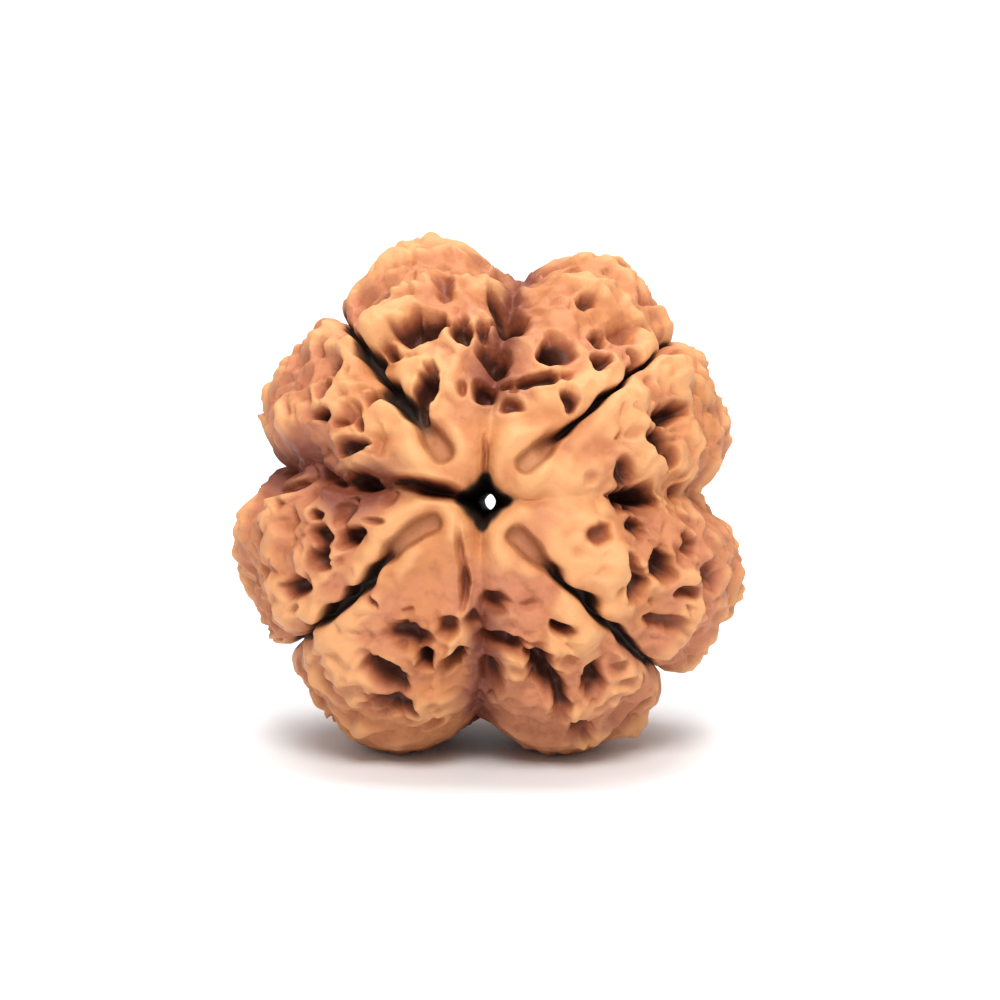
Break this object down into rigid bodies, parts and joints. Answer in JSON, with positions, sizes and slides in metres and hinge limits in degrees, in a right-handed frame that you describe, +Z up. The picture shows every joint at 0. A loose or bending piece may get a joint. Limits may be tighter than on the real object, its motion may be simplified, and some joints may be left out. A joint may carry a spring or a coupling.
{
  "type": "rudraksha seed",
  "caption": "Round, lobed hard seed with a net of ridges and pits, seams and valleys from pole to pole, and a narrow natural canal through its middle.",
  "frame": {"origin": "on the surface that the seed stands on, under the middle of its width and depth", "axes": "+Z up, +X to the right as its face is seen; the face with the canal's mouth looks along -Y, tipped up by 10 degrees"},
  "size_m": [0.0221, 0.0199, 0.022],
  "materials": {
    "seed_stone": "dry, matt and woody, darker red-brown in its pits and seams"
  },
  "bodies": {
    "root": {"rudraksha_seed": "seed_stone"}
  },
  "joints": []
}
